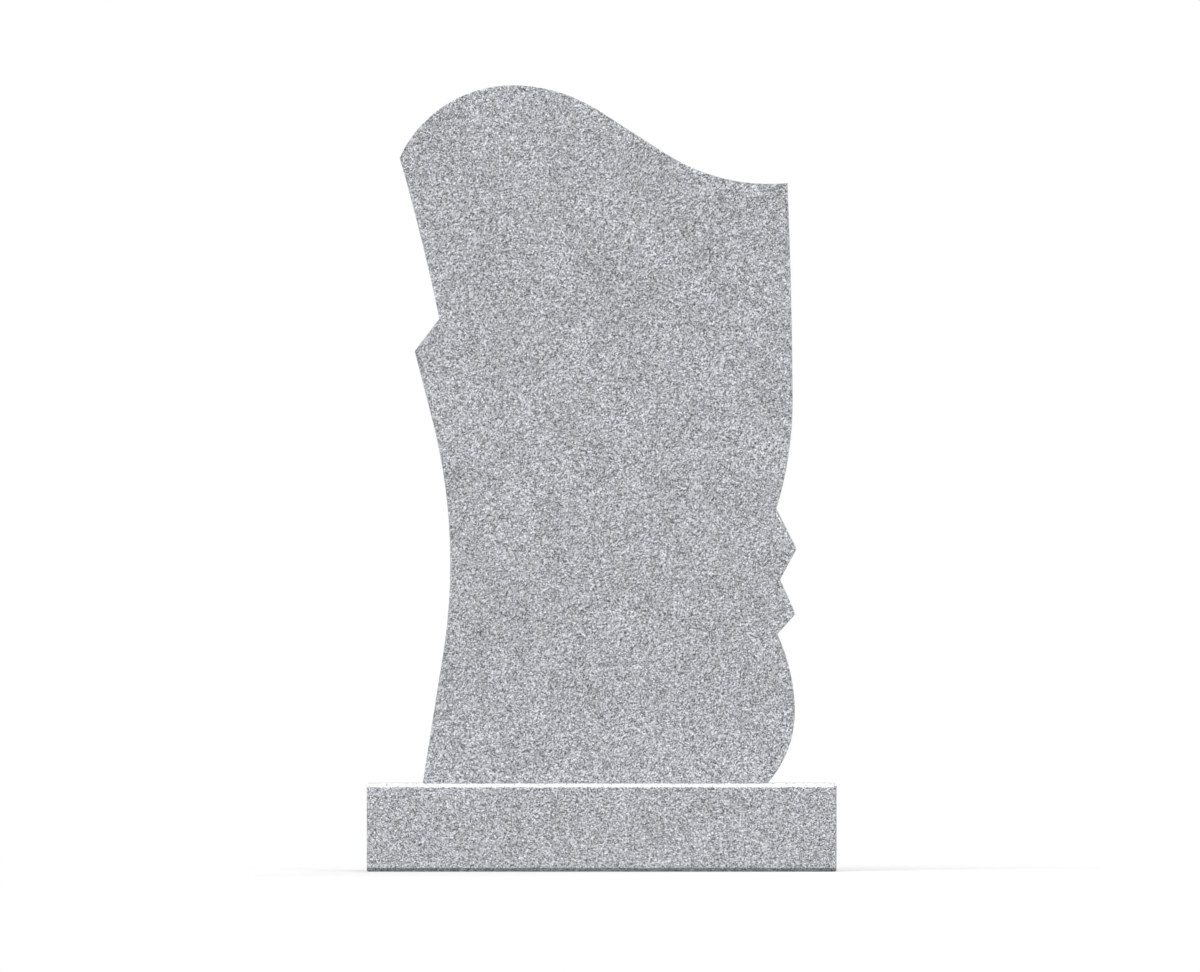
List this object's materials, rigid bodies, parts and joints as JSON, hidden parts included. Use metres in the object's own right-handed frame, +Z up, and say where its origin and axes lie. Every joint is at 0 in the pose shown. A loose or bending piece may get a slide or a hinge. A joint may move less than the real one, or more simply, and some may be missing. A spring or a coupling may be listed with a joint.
{
  "type": "upright headstone",
  "caption": "Free-form upright headstone of polished grey granite with a round crown, side notch and toothed edge, standing on an oblong base.",
  "frame": {"origin": "on the ground, in the middle of the base's underside", "axes": "+Z up, the inscription face looks towards -Y, +X to the right as seen from the front"},
  "size_m": [0.8, 0.25, 1.34],
  "materials": {
    "base_stone": "polished fine-grained grey granite",
    "stele_stone": "polished fine-grained grey granite"
  },
  "bodies": {
    "root": {"base": "base_stone", "stele": "stele_stone"}
  },
  "joints": []
}
